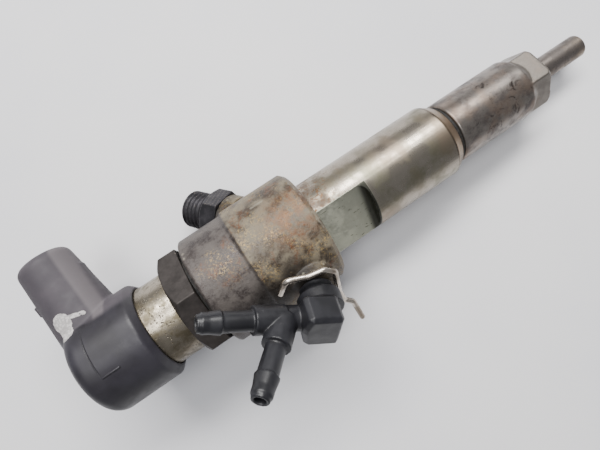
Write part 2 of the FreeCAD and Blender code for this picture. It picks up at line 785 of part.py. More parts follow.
# ---------------------------------------------------------------- connector cap
def connector_cap():
    """Moulded cap with a domed end and a round socket that stands out sideways."""
    long = "Dim.cap_end - Dim.cap_rim"
    outline = [
        ("0", "0"),
        ("0", "Dim.cap_radius"),
        (long + " - Dim.cap_rim_lip", "Dim.cap_radius"),
        (long, "Dim.cap_radius - Dim.cap_rim_lip"),
        (long, "0"),
    ]
    shell = turned("cap_shell", "Dim.cap_end", outline)
    turning = shell.Tip
    dome = shell.newObject("PartDesign::Fillet", "cap_end_round")
    dome.Base = (turning, ring_edges(turning.Shape, measure("Dim.cap_radius"), 0))
    dome.setExpression("Radius", "Dim.cap_dome")
    doc.recompute()
    cavity = rod("cap_cavity", on_axis("Dim.cavity_rear"), Vector(1, 0, 0),
                 "Dim.cavity_rear - Dim.cap_rim + 1", "Dim.tube_radius + Dim.fit_gap")
    mouth = BARREL.multVec(Vector(0, measure("Dim.barrel_reach") + 1, 0))
    inward = BARREL.Rotation.multVec(Vector(0, -1, 0))
    socket = rod("cap_socket", mouth, inward, "Dim.socket_depth + 1", "Dim.socket_radius")
    slots = [terminal_bar("terminal_slot%d" % i, side) for i, side in enumerate((-1, 1))]
    whole = fuse("cap_solid", [shell] + barrel_pieces())
    keep(cut("connector_cap", whole, [cavity, socket] + slots), "connector_cap")


def barrel_pieces():
    """Tapered barrel with a rounded mouth, a small latch and a flat rib."""
    outward = BARREL.Rotation.multVec(Vector(0, 1, 0))
    start = BARREL.multVec(Vector(0, measure("Dim.barrel_start"), 0))
    straight = "Dim.barrel_reach - Dim.barrel_start"
    barrel = taper("barrel_cone", start, outward, straight, "Dim.barrel_base", "Dim.barrel_end")
    doc.recompute()
    mouth_edge = [
        number
        for number, edge in enumerate(barrel.Shape.Edges, start=1)
        if edge.Curve.TypeId == "Part::GeomCircle"
        and abs(edge.Curve.Radius - measure("Dim.barrel_end")) < 1e-3
    ]
    rounded = doc.addObject("Part::Fillet", "barrel")
    rounded.Base = barrel
    radius = measure("Dim.barrel_round")
    rounded.Edges = [(number, radius, radius) for number in mouth_edge]
    latch = block("barrel_latch", Vector(0, 0, 0), ("2", "3", "3.6"))
    latch.Placement = BARREL.multiply(Placement(Vector(-8.4, 19.5, -1.8), Rotation()))
    rib = block("barrel_rib", Vector(0, 0, 0), ("2", "14", "3"))
    rib.Placement = BARREL.multiply(Placement(Vector(5.7, 11, -1.5), Rotation()))
    return [rounded, latch, rib]


def terminal_bar(name, side):
    """A flat blade from inside the cap to near the socket's mouth."""
    bar = block(name, Vector(0, 0, 0), ("1.5", "Dim.barrel_reach - 14", "0.6"))
    height = side * measure("Dim.terminal_gap") / 2 - 0.3
    bar.Placement = BARREL.multiply(Placement(Vector(-0.75, 10, height), Rotation()))
    return bar


def connector_terminals():
    pair = doc.addObject("Part::Compound", "connector_terminals")
    pair.Links = [terminal_bar("terminal%d" % i, side) for i, side in enumerate((-1, 1))]
    keep(pair, "connector_terminals")


def cap_seal():
    outline = [
        ("0.05", "Dim.tube_radius - 0.88"),
        ("0.05", "Dim.tube_radius + 0.02"),
        ("1.55", "Dim.tube_radius + 0.02"),
        ("1.55", "Dim.tube_radius - 0.88"),
    ]
    keep(turned("cap_seal", "Dim.cap_rim + 3.5", outline), "cap_seal")


# ---------------------------------------------------------------- high-pressure inlet
def inlet_fitting():
    """Threaded union with a cone seat, a hexagon and a plain shank in the block."""
    fitting = rod("inlet_plain", INLET_END + INLET_IN, INLET_IN, "12.5", "Dim.inlet_thread - 0.9")
    nose = taper("inlet_nose", INLET_END, INLET_IN, "1", "Dim.inlet_thread - 1.6",
                 "Dim.inlet_thread - 0.9")
    pitch = measure("Dim.inlet_pitch")
    ridges = []
    for turn in range(int(measure("Dim.inlet_thread_length") / pitch)):
        base = INLET_END + INLET_IN * (0.6 + pitch * turn)
        ridges.append(taper("thread_rise%d" % turn, base, INLET_IN, "Dim.inlet_pitch / 2",
                            "Dim.inlet_thread - 0.85", "Dim.inlet_thread"))
        ridges.append(taper("thread_fall%d" % turn, base + INLET_IN * (pitch / 2), INLET_IN,
                            "Dim.inlet_pitch / 2", "Dim.inlet_thread", "Dim.inlet_thread - 0.85"))
    shank = rod("inlet_shank", INLET_END + INLET_IN * 13, INLET_IN, "Dim.inlet_depth - 13", "4.5")
    solid = fuse("inlet_solid", [fitting, nose, shank, inlet_hexagon()] + ridges)
    seat = taper("inlet_cone_seat", INLET_END - INLET_IN * 0.01, INLET_IN, "4", "3.6", "1.3")
    bore = rod("inlet_fuel_bore", INLET_END + INLET_IN * 2, INLET_IN, "22", "1.3")
    keep(cut("inlet_fitting", solid, [seat, bore]), "inlet_fitting")


def inlet_hexagon():
    hexagon = doc.addObject("Part::Prism", "inlet_hexagon")
    hexagon.Polygon = 6
    hexagon.setExpression("Circumradius", "Dim.inlet_hex / 2 / cos(30 deg)")
    hexagon.setExpression("Height", "Dim.inlet_hex_end - Dim.inlet_hex_start")
    facing = Rotation(Vector(0, 0, 1), INLET_IN)
    front = INLET_END + INLET_IN * measure("Dim.inlet_hex_start")
    hexagon.Placement = Placement(front, facing)
    corner = "Dim.inlet_hex / 2 / cos(30 deg)"
    long = "Dim.inlet_hex_end - Dim.inlet_hex_start"
    envelope = [
        taper("inlet_hex_lead", front, INLET_IN, "1.2", corner + " - 1.3", corner),
        rod("inlet_hex_body", front + INLET_IN * 1.2, INLET_IN, long + " - 1.2", corner),
    ]
    return common("inlet_hex_form", hexagon, fuse("inlet_hex_envelope", envelope))


def inlet_filter():
    """Edge filter, a fluted rod pressed into the fitting's bore."""
    keep(rod("inlet_filter", INLET_END + INLET_IN * 6, INLET_IN, "12", "1.22"), "inlet_filter")


# ---------------------------------------------------------------- return connector and clip
def tube_and_barb(name, start, direction):
    """A stub tube that ends in a hose barb; the start is on the plug side of the junction."""
    return [
        rod(name + "_tube", start, direction, "Dim.tee_collar", "Dim.tee_tube"),
        rod(name + "_stem", start, direction, "Dim.barb_end - 1", "Dim.barb_stem"),
        taper(name + "_barb", start + direction * measure("Dim.barb_start"), direction,
              "Dim.barb_end - Dim.barb_start", "Dim.barb_flare", "Dim.barb_tip"),
    ]


def return_connector():
    """Moulded return tee: plug, neck, square head, through tube and slanted branch."""
    up = Vector(0, 0, 1)
    along = Vector(1, 0, 0)
    branch_angle = math.radians(measure("Dim.tee_branch"))
    branch = Vector(math.cos(branch_angle), 0, math.sin(branch_angle))
    level = up * measure("Dim.tee_reach")
    junction = level + along * measure("Dim.tee_junction")
    solids = [
        tee_head(),
        rod("tee_plug", up * 11.5, up, "10", "Dim.plug_radius"),
        rod("tee_neck", up * (measure("Dim.port_reach") + measure("Dim.collar_gap")), up, "7",
            "Dim.tee_neck"),
        rod("tee_disc", up * measure("Dim.tee_disc_start"), up, "4", "Dim.tee_disc"),
        rod("tee_link", level, along, "Dim.tee_junction", "Dim.tee_tube - 0.3"),
    ]
    solids += tube_and_barb("through", junction, along) + tube_and_barb("branch", junction, branch)
    tools = [
        rod("tee_plug_bore", up * 11, up, "Dim.tee_reach - 11", "1.5"),
        rod("tee_through_bore", level, along, "40", "Dim.hose_bore"),
        rod("tee_branch_bore", junction, branch, "30", "Dim.hose_bore"),
        seal_groove(),
    ]
    tee = cut("return_connector", fuse("tee_solid", solids), tools)
    tee.Placement = PORT
    keep(tee, "return_connector")


def tee_head():
    """Five-sided block with chamfered edges at the outer end of the plug."""
    start = measure("Dim.tee_box_start")
    outline = [Vector(x, y, start) for x, y in TEE_HEAD + TEE_HEAD[:1]]
    height = Vector(0, 0, measure("Dim.tee_box_end") - start)
    sharp = Part.Face(Part.makePolygon(outline)).extrude(height)
    head = doc.addObject("Part::Feature", "tee_head")
    head.Shape = sharp.makeChamfer(measure("Dim.tee_box_chamfer"), sharp.Edges)
    return head


def seal_groove():
    outer = rod("groove_outer", Vector(0, 0, 13), Vector(0, 0, 1), "1.8", "Dim.plug_radius + 1")
    inner = rod("groove_inner", Vector(0, 0, 12), Vector(0, 0, 1), "4", "Dim.seal_radius")
    return cut("seal_groove", outer, [inner])


def return_seal():
    outer = rod("seal_outer", Vector(0, 0, 13.05), Vector(0, 0, 1), "1.7", "Dim.plug_radius + 0.02")
    inner = rod("seal_inner", Vector(0, 0, 12), Vector(0, 0, 1), "4", "Dim.seal_radius + 0.02")
    seal = cut("return_seal", outer, [inner])
    seal.Placement = PORT
    keep(seal, "return_seal")


def retaining_clip():
    """Spring-wire clip that wraps the connector's neck: hook, wavy back, leg and tail."""
    level = measure("Dim.clip_level")
    route = [
        Vector(9.6, 0.6, level),
        Vector(9.9, -4.6, level),
        Vector(4.8, -6.2, level),
        Vector(1.6, -8.9, level),
        Vector(-1.6, -8.4, level),
        Vector(-6.6, 0.2, level),
        Vector(-9.4, 3.4, level + 0.4),
        Vector(-12.2, 3.8, level + 0.8),
        Vector(-17.2, 9.4, level + 2.4),
    ]
    wire = bent_wire(route, measure("Dim.wire_radius"), measure("Dim.clip_bend"))
    shaped("retaining_clip", wire, PORT.copy())


# ---------------------------------------------------------------- build, check and write
for build in (
    nozzle_body, throttle_plate, locating_pins, nozzle_needle, nozzle_cap_nut, nut_seal_ring,
    injector_body, control_piston, spring_seat, springs, valve_seat_plate, control_valve,
    valve_guide, valve_piston, transmission_levers, actuator_plunger, piezo_stack,
    piezo_tube_spring, actuator_head, actuator_tube, actuator_hex_nut, actuator_seal,
    connector_cap, connector_terminals, cap_seal, inlet_fitting, inlet_filter,
    return_connector, return_seal, retaining_clip,
):
    build()
doc.recompute()

for feature in doc.Objects:
    if "Invalid" in feature.State or "Error" in feature.State:
        raise RuntimeError("%s failed: %s" % (feature.Label, feature.State))
for piece in subparts:
    if piece.Shape.isNull() or not piece.Shape.isValid() or piece.Shape.Volume <= 0:
        raise RuntimeError(piece.Label + ": its shape is empty or not valid")

os.makedirs("parts", exist_ok=True)
for piece in subparts:
    piece.Shape.exportStep("parts/%s.step" % piece.Label)
    print("%-22s %2d solid %9.1f mm3" % (piece.Label, len(piece.Shape.Solids), piece.Shape.Volume))
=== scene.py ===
"""Looks of a diesel fuel injector lying on a pale table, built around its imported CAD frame.

Every length is in metres. X is the injector's axis, +X towards the nozzle tip, and +Z is up.
"""
import bmesh
import bpy
import json
import math
from mathutils import Matrix, Vector


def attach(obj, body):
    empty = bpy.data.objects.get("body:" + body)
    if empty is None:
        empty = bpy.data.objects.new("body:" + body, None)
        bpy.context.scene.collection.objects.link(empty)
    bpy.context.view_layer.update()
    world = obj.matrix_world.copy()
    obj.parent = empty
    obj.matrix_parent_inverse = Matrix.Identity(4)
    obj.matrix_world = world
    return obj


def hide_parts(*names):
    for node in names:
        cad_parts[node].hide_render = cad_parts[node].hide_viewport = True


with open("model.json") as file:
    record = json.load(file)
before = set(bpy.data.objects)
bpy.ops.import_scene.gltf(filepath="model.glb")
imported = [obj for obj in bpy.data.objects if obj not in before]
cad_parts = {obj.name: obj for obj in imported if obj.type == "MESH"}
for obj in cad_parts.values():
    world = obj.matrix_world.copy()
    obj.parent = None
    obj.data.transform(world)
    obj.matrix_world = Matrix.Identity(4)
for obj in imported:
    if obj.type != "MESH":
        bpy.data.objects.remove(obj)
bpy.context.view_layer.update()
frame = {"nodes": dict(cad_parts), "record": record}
MM = 0.001
NODES = frame["nodes"]
SLOT_OF = {part["node"]: part["material_slot"] for part in frame["record"]["subparts"]}
BODY_OF = {
    node: body
    for body, nodes in frame["record"]["behaviour"]["bodies"].items()
    for node in nodes
}

# Rise of the table along X under the resting injector.
TABLE_SLOPE = 0.1139
TABLE_HALF = 1.5
# Stations along the injector's axis.
BODY_FRONT = -33.9 * MM
FLAT_FRONT = -64.5 * MM
BLOCK_FRONT = -79.8 * MM
BLOCK_STEP = -100.0 * MM
CAP_RIM = -129.5 * MM
CAP_SEAM = -143.2 * MM
# The milled flats face this way round the axis.
FLAT_CLOCK = math.radians(130)
FLAT_NORMAL = (0.0, math.cos(FLAT_CLOCK), math.sin(FLAT_CLOCK))
# Places of marks left by use.
SEALANT = (-0.1466, 0.0136, 0.0081)
SEALANT_RUN = (-0.1468, 0.0112, 0.0086)
CAP_SHOULDER = (-0.1430, 0.0085, 0.0105)
RUST_SPOT = (-0.0856, 0.0046, 0.0159)
GOLD_SPOT = (-0.1055, 0.0045, 0.0152)
GREASE = (
    ((-0.0925, -0.0100, 0.0138), 3 * MM, 8 * MM),
    ((-0.0995, -0.0100, 0.0125), 3 * MM, 8 * MM),
    ((-0.0985, 0.0150, -0.0090), 6 * MM, 9 * MM),
)
# Ends of the moulded bar on the cap.
BAR_REAR = (-0.1429, -0.00283, 0.01348)
BAR_FRONT = (-0.1386, -0.00280, 0.01349)
# Remeshing size in millimetres and smoothing passes of each softened node.
FINISHES = {
    "connector_cap": (0.28, 9),
    "return_connector": (0.2, 5),
    "injector_body": (0.26, 4),
    "actuator_hex_nut": (0.22, 4),
    "nozzle_cap_nut": (0.22, 3),
    "inlet_fitting": (0.14, 3),
}


def rgb(red, green, blue):
    """A linear colour from display values of 0 to 255."""
    return tuple(
        value / 12.92 if value <= 0.04045 else ((value + 0.055) / 1.055) ** 2.4
        for value in (red / 255, green / 255, blue / 255)
    )


# ---------------------------------------------------------------- node helpers
class Look:
    """A procedural material under construction."""

    def __init__(self, name, roughness=0.5, metallic=0.0, specular=0.5):
        self.material = bpy.data.materials.new(name)
        self.material.use_nodes = True
        self.tree = self.material.node_tree
        self.shader = self.tree.nodes["Principled BSDF"]
        self.shader.inputs["Roughness"].default_value = roughness
        self.shader.inputs["Metallic"].default_value = metallic
        self.shader.inputs["Specular IOR Level"].default_value = specular
        self.place = self.add("ShaderNodeTexCoord").outputs["Object"]

    def add(self, kind, **settings):
        node = self.tree.nodes.new(kind)
        for name, value in settings.items():
            setattr(node, name, value)
        return node

    def join(self, source, target):
        if isinstance(source, (int, float, tuple)):
            target.default_value = source
        else:
            self.tree.links.new(source, target)

    def stretched(self, x=1.0, y=1.0, z=1.0):
        """Object coordinates scaled apart, for streaks along one axis."""
        node = self.add("ShaderNodeMapping")
        self.join(self.place, node.inputs["Vector"])
        node.inputs["Scale"].default_value = (x, y, z)
        return node.outputs["Vector"]

    def grain(self, size, detail=4.0, rough=0.55, place=None, warp=0.0):
        """Noise whose blobs are about size metres across."""
        node = self.add("ShaderNodeTexNoise")
        self.join(place or self.place, node.inputs["Vector"])
        node.inputs["Scale"].default_value = 1.0 / size
        node.inputs["Detail"].default_value = detail
        node.inputs["Roughness"].default_value = rough
        node.inputs["Distortion"].default_value = warp
        return node.outputs["Fac"]

    def cells(self, size, place=None):
        node = self.add("ShaderNodeTexVoronoi", feature="F1")
        self.join(place or self.place, node.inputs["Vector"])
        node.inputs["Scale"].default_value = 1.0 / size
        return node.outputs["Distance"]

    def ramp(self, value, low, high, start=0.0, end=1.0):
        """Value mapped from low..high to start..end, smoothly and clamped."""
        node = self.add("ShaderNodeMapRange", interpolation_type="SMOOTHSTEP")
        node.inputs["From Min"].default_value = low
        node.inputs["From Max"].default_value = high
        node.inputs["To Min"].default_value = start
        node.inputs["To Max"].default_value = end
        self.join(value, node.inputs["Value"])
        return node.outputs["Result"]

    def maths(self, operation, first, second=0.0):
        node = self.add("ShaderNodeMath", operation=operation)
        self.join(first, node.inputs[0])
        self.join(second, node.inputs[1])
        return node.outputs["Value"]

    def times(self, *values):
        result = values[0]
        for value in values[1:]:
            result = self.maths("MULTIPLY", result, value)
        return result

    def larger(self, *values):
        result = values[0]
        for value in values[1:]:
            result = self.maths("MAXIMUM", result, value)
        return result

    def mix(self, factor, first, second):
        node = self.add("ShaderNodeMix", data_type="RGBA")
        self.join(factor, node.inputs["Factor"])
        for value, socket in ((first, node.inputs[6]), (second, node.inputs[7])):
            self.join((*value, 1.0) if isinstance(value, tuple) else value, socket)
        return node.outputs[2]

    def axis(self, letter):
        node = self.add("ShaderNodeSeparateXYZ")
        self.join(self.place, node.inputs[0])
        return node.outputs[letter]

    def along(self, direction):
        """How far the point lies along a unit direction."""
        node = self.add("ShaderNodeVectorMath", operation="DOT_PRODUCT")
        self.join(self.place, node.inputs[0])
        node.inputs[1].default_value = direction
        return node.outputs["Value"]

    def near(self, centre, inner, outer):
        """One within inner metres of a point, fading to nought at outer."""
        node = self.add("ShaderNodeVectorMath", operation="DISTANCE")
        self.join(self.place, node.inputs[0])
        node.inputs[1].default_value = centre
        return self.ramp(node.outputs["Value"], inner, outer, 1.0, 0.0)

    def between(self, value, low, high, soft):
        """One where value lies between low and high."""
        return self.times(self.ramp(value, low - soft, low + soft),
                          self.ramp(value, high - soft, high + soft, 1.0, 0.0))

    def edges(self, low=0.52, high=0.6):
        """Convex edges of a dense mesh."""
        return self.ramp(self.add("ShaderNodeNewGeometry").outputs["Pointiness"], low, high)

    def hollows(self, distance):
        """Crevices, one where geometry closes in within the distance."""
        node = self.add("ShaderNodeAmbientOcclusion", samples=6)
        node.inputs["Distance"].default_value = distance
        return self.ramp(node.outputs["AO"], 0.35, 0.95, 1.0, 0.0)

    def lathe_lines(self, pitch):
        """Fine rings around the axis."""
        return self.grain(pitch, 2, 0.5, self.stretched(1, 0.02, 0.02))

    def bump(self, height, depth, strength=1.0):
        """Relief of the given depth in metres, added to what is there already."""
        node = self.add("ShaderNodeBump")
        node.inputs["Strength"].default_value = strength
        node.inputs["Distance"].default_value = depth
        self.join(height, node.inputs["Height"])
        normal = self.shader.inputs["Normal"]
        if normal.links:
            self.join(normal.links[0].from_socket, node.inputs["Normal"])
        self.join(node.outputs["Normal"], normal)

    def paint(self, colour, rough=None, metal=None):
        self.join(colour, self.shader.inputs["Base Color"])
        if rough is not None:
            self.join(rough, self.shader.inputs["Roughness"])
        if metal is not None:
            self.join(metal, self.shader.inputs["Metallic"])
        return self.material


# ---------------------------------------------------------------- materials
def moulded(name, dark, light, rough=0.42):
    """Black moulded plastic with a little bloom, dust in the corners and fine texture."""
    look = Look(name, specular=0.4)
    bloom = look.ramp(look.grain(6 * MM, 5, 0.6), 0.35, 0.7)
    colour = look.mix(bloom, dark, light)
    dust = look.times(look.hollows(1.2 * MM), look.ramp(look.grain(1.2 * MM, 6), 0.45, 0.7), 0.3)
    colour = look.mix(dust, colour, rgb(80, 74, 68))
    scuff = look.ramp(look.grain(0.9 * MM, 3, 0.5, look.stretched(1, 0.3, 1)), 0.68, 0.76)
    colour = look.mix(look.times(scuff, 0.15), colour, rgb(90, 88, 90))
    roughness = look.ramp(look.grain(3 * MM, 4), 0.3, 0.7, rough - 0.05, rough + 0.08)
    look.bump(look.grain(0.3 * MM, 3), 0.02 * MM, 0.4)
    return look.paint(colour, roughness)


def cap_plastic():
    """Dark moulded cap with a duller barrel, a painted highlight along a rib across the barrel, a parting
    line and a pale patch of old sealant.
    """
    look = Look("cap_plastic", specular=0.4)
    x, y, z = look.axis("X"), look.axis("Y"), look.axis("Z")
    off_shoulder = look.ramp(look.near(CAP_SHOULDER, 2.2 * MM, 3.4 * MM), 0, 1, 1, 0)
    barrel = look.times(look.ramp(y, 9.6 * MM, 11.2 * MM), off_shoulder)
    bloom = look.ramp(look.grain(8 * MM, 4, 0.5), 0.3, 0.72)
    cap = look.mix(bloom, rgb(31, 29, 33), rgb(44, 42, 48))
    dull = look.mix(bloom, rgb(60, 56, 61), rgb(70, 65, 70))
    # Painted highlight of a rib across the barrel, a lighter band in colour only.
    rib_highlight = look.between(look.along((0.996, 0.087, 0.0)), -138.0 * MM, -135.0 * MM, 0.5 * MM)
    dull = look.mix(look.times(rib_highlight, 0.5), dull, rgb(112, 106, 108))
    colour = look.mix(barrel, cap, dull)
    dust = look.times(look.hollows(1.0 * MM), look.ramp(look.grain(1.2 * MM, 6), 0.45, 0.7), 0.3)
    colour = look.mix(dust, colour, rgb(80, 74, 70))
    seam = look.times(look.between(x, CAP_SEAM - 0.15 * MM, CAP_SEAM + 0.15 * MM, 0.1 * MM),
                      look.between(y, -1.5 * MM, 9.0 * MM, 1.5 * MM), look.ramp(z, 0.0, 2 * MM))
    colour = look.mix(look.times(seam, 0.5), colour, rgb(16, 15, 17))
    look.bump(look.grain(0.3 * MM, 3), 0.02 * MM, 0.4)
    look.bump(seam, -0.12 * MM)
    patch = sealant(look, x, z)
    thin = look.ramp(look.grain(0.7 * MM, 4), 0.4, 0.62, 0.6, 1.0)
    colour = look.mix(look.times(patch, thin), colour, rgb(188, 184, 182))
    look.bump(patch, 0.15 * MM)
    shine = look.ramp(look.grain(3 * MM, 4), 0.3, 0.7, 0.38, 0.5)
    shine = look.maths("ADD", shine, look.times(barrel, 0.22))
    return look.paint(colour, look.larger(shine, look.times(patch, 0.85)))


def sealant(look, x, z):
    """Ragged patch at the barrel's root, with a tail along the joint."""
    spread = look.larger(look.near(SEALANT, 1.5 * MM, 3.8 * MM), look.near(SEALANT_RUN, 0.8 * MM, 3.4 * MM))
    tail = look.times(look.between(look.along((0.3, 0.954, 0.0)), -30.6 * MM, -29.0 * MM, 0.5 * MM),
                      look.between(x, -147.0 * MM, -140.2 * MM, 0.6 * MM), look.ramp(z, 3 * MM, 5 * MM))
    spread = look.larger(spread, look.times(tail, 0.6))
    ragged = look.maths("ADD", spread, look.times(look.grain(1.6 * MM, 5, 0.7), 0.8))
    return look.times(look.ramp(ragged, 0.86, 0.94), look.ramp(spread, 0.08, 0.3))


def worn_steel(name, base, stain, rough, pits=0.5, tint=rgb(160, 140, 112), metal=1.0):
    """Turned steel with faint lathe lines, stains and small pits."""
    look = Look(name, metallic=metal)
    blotch = look.ramp(look.grain(5 * MM, 6, 0.62), 0.42, 0.66)
    colour = look.mix(blotch, base, stain)
    warm = look.ramp(look.grain(9 * MM, 4, 0.6, look.stretched(0.6, 1, 1)), 0.5, 0.75)
    colour = look.mix(look.times(warm, 0.45), colour, tint)
    pit = look.times(look.ramp(look.cells(0.9 * MM), 0.16, 0.26, 1.0, 0.0),
                     look.ramp(look.grain(5 * MM, 3), 0.48, 0.58), pits)
    colour = look.mix(pit, colour, rgb(52, 45, 36))
    lathe = look.lathe_lines(0.12 * MM)
    roughness = look.maths("ADD", look.ramp(blotch, 0, 1, rough, rough + 0.16), look.times(lathe, 0.06))
    look.bump(lathe, 0.01 * MM, 0.4)
    look.bump(pit, -0.08 * MM, 0.8)
    return look.paint(colour, roughness, look.ramp(pit, 0.2, 0.8, metal, 0.1))


def tube_steel():
    """Warm silver tube, pitted in a patch, with painted shade where it enters the cap rim and along its
    side away from the light.
    """
    look = Look("tube_steel", metallic=0.95)
    x = look.axis("X")
    blotch = look.ramp(look.grain(3.5 * MM, 6, 0.65), 0.4, 0.64)
    colour = look.mix(blotch, rgb(160, 151, 136), rgb(108, 100, 82))
    # Painted shade: darker next to the cap rim and on the -Y side, away from the light.
    painted_shade = look.larger(look.ramp(x, CAP_RIM + 0.1 * MM, CAP_RIM + 3.5 * MM, 0.5, 0.0),
                       look.ramp(look.along((0.0, -1.0, 0.0)), 1 * MM, 9 * MM, 0.0, 0.6))
    colour = look.mix(painted_shade, colour, rgb(78, 71, 58))
    pit = look.times(look.ramp(look.cells(0.8 * MM), 0.2, 0.3, 1.0, 0.0),
                     look.ramp(look.grain(4 * MM, 4, 0.6), 0.47, 0.56))
    colour = look.mix(look.times(pit, 0.85), colour, rgb(58, 48, 36))
    fine = look.ramp(look.grain(0.5 * MM, 4, 0.7), 0.56, 0.7)
    colour = look.mix(look.times(fine, 0.35), colour, rgb(88, 76, 56))
    look.bump(pit, -0.1 * MM)
    look.bump(fine, -0.02 * MM, 0.6)
    return look.paint(colour, look.ramp(blotch, 0, 1, 0.26, 0.46), look.ramp(pit, 0.2, 0.8, 0.95, 0.2))


def body_steel():
    """Satin body, milled flats, bevelled front, and a forged head that is stained and rusty."""
    look = Look("body_steel", metallic=1.0)
    x = look.axis("X")
    head = look.ramp(x, BLOCK_FRONT - 0.5 * MM, BLOCK_FRONT + 0.5 * MM, 1.0, 0.0)
    turned = look.maths("SUBTRACT", 1.0, head)
    satin, satin_rough, dirt = satin_steel(look, x)
    forged, forged_rough = forged_steel(look, x)
    rough = look.maths("ADD", look.times(satin_rough, turned), look.times(forged_rough, head))
    metal = look.maths("SUBTRACT", 1.0, look.times(head, 0.35))
    metal = look.maths("SUBTRACT", metal, look.times(dirt, 0.5))
    look.bump(look.times(look.lathe_lines(0.14 * MM), turned), 0.012 * MM, 0.5)
    look.bump(look.times(look.grain(0.6 * MM, 6, 0.72), head), 0.16 * MM, 0.75)
    return look.paint(look.mix(head, satin, forged), rough, metal)


def satin_steel(look, x):
    """Colour, roughness and dirt of the body ahead of the block."""
    cloud = look.ramp(look.grain(7 * MM, 5, 0.6), 0.38, 0.66)
    satin = look.mix(cloud, rgb(158, 150, 138), rgb(118, 115, 98))
    # Painted pinkish highlight in random patches.
    pink_highlight = look.ramp(look.grain(14 * MM, 3, 0.5), 0.45, 0.7)
    satin = look.mix(look.times(pink_highlight, 0.4), satin, rgb(158, 134, 120))
    # Rust specks and grime thicken towards the block.
    close = look.ramp(x, -79.0 * MM, -58.0 * MM, 1.0, 0.0)
    speckled = look.maths("ADD", look.grain(0.9 * MM, 5, 0.7), look.times(close, 0.16))
    speck = look.ramp(speckled, 0.66, 0.74)
    satin = look.mix(look.times(speck, close), satin, rgb(112, 80, 48))
    grimy = look.maths("ADD", look.grain(4 * MM, 6, 0.65), look.times(close, 0.2))
    grime = look.times(look.ramp(grimy, 0.6, 0.78), close)
    satin = look.mix(look.times(grime, 0.8), satin, rgb(84, 70, 58))
    flat, milled = milled_flats(look, x)
    satin = look.mix(flat, satin, milled)
    # Bevelled front edge with a painted brassy highlight.
    bevel_highlight = look.between(x, BODY_FRONT - 3.0 * MM, BODY_FRONT + 0.9 * MM, 0.15 * MM)
    satin = look.mix(look.times(bevel_highlight, 0.75), satin, rgb(126, 106, 84))
    # Painted shade line at the bevel's rear step.
    step_shade = look.between(x, BODY_FRONT - 3.3 * MM, BODY_FRONT - 2.8 * MM, 0.1 * MM)
    satin = look.mix(look.times(step_shade, 0.6), satin, rgb(72, 64, 54))
    rough = look.maths("ADD", look.ramp(cloud, 0, 1, 0.26, 0.4), look.times(grime, 0.2))
    rough = look.maths("ADD", rough, look.times(flat, 0.14))
    return satin, rough, look.times(look.larger(speck, grime), close)


def milled_flats(look, x):
    """Where the clamp flats are, and their scratched colour with painted shade on the end wall."""
    lift = look.maths("ABSOLUTE", look.along(FLAT_NORMAL))
    flat = look.times(look.ramp(lift, 7.35 * MM, 7.5 * MM),
                      look.between(x, BLOCK_FRONT - 0.2 * MM, FLAT_FRONT + 0.6 * MM, 0.2 * MM))
    milled = look.mix(look.grain(2.5 * MM, 6, 0.7), rgb(150, 151, 134), rgb(182, 182, 166))
    scratch = look.ramp(look.grain(1.3 * MM, 4, 0.6, look.stretched(0.3, 1, 1), 1.5), 0.62, 0.68)
    milled = look.mix(look.times(scratch, 0.75), milled, rgb(58, 56, 46))
    # Painted shade on the curved end wall where the flat runs out.
    wall_shade = look.times(flat, look.ramp(x, FLAT_FRONT - 2.5 * MM, FLAT_FRONT - 0.7 * MM))
    return flat, look.mix(look.times(wall_shade, 0.9), milled, rgb(30, 30, 28))


def forged_steel(look, x):
    """Colour and roughness of the block: brown steel under gold, rust, soot and grease, with painted shade
    on its lower side and painted highlights on its edges.
    """
    rear = look.ramp(x, BLOCK_STEP - 0.3 * MM, BLOCK_STEP + 0.3 * MM, 1.0, 0.0)
    tone = look.ramp(look.grain(4 * MM, 6, 0.68), 0.36, 0.66)
    gold = look.times(look.ramp(look.grain(0.55 * MM, 5, 0.75), 0.5, 0.6),
                      look.ramp(look.grain(7 * MM, 4, 0.6), 0.42, 0.62))
    rust = look.times(look.ramp(look.grain(5 * MM, 6, 0.7, None, 0.6), 0.53, 0.66),
                      look.ramp(look.grain(0.8 * MM, 4, 0.7), 0.4, 0.6))
    soot = look.ramp(look.grain(1.0 * MM, 5, 0.7), 0.58, 0.68)
    # Painted shade: darker towards the lower side, away from the light.
    painted_side_shade = look.ramp(look.along((0.0, -0.9, -0.44)), 6 * MM, 15 * MM)
    # Raised front part.
    front = look.mix(tone, rgb(70, 62, 54), rgb(112, 103, 86))
    front = look.mix(look.times(gold, 0.7), front, rgb(160, 136, 88))
    mottle = look.ramp(look.grain(2.2 * MM, 6, 0.7), 0.36, 0.6)
    brown = look.times(look.near(RUST_SPOT, 2 * MM, 11 * MM), mottle, 0.75)
    front = look.mix(brown, front, rgb(108, 74, 44))
    front = look.mix(look.times(rust, 0.9), front, rgb(96, 60, 34))
    front = look.mix(look.times(soot, 0.75), front, rgb(54, 46, 40))
    front = look.mix(look.times(painted_side_shade, 0.45), front, rgb(62, 56, 50))
    # Smoother rear part.
    back = look.mix(tone, rgb(62, 56, 54), rgb(82, 76, 72))
    centre = look.near(GOLD_SPOT, 2.5 * MM, 8 * MM)
    back = look.mix(look.times(gold, centre, 0.8), back, rgb(146, 124, 86))
    back = look.mix(look.times(rust, centre, 0.9), back, rgb(100, 66, 44))
    back = look.mix(look.times(soot, 0.3), back, rgb(56, 50, 48))
    back = look.mix(look.times(painted_side_shade, 0.55), back, rgb(60, 56, 53))
    forged = look.mix(rear, front, back)
    port = look.larger(*(look.near(*spot) for spot in GREASE))
    grease = look.times(port, look.ramp(look.grain(2 * MM, 5, 0.65), 0.3, 0.5, 0.55, 0.95))
    forged = look.mix(grease, forged, rgb(34, 30, 27))
    # Painted highlight: lighter on the convex edges, such as the step line.
    edge_highlight = look.times(look.edges(0.52, 0.57), look.grain(1.5 * MM, 4))
    forged = look.mix(look.times(edge_highlight, 0.8), forged, rgb(146, 140, 124))
    return forged, look.ramp(tone, 0, 1, 0.42, 0.6)


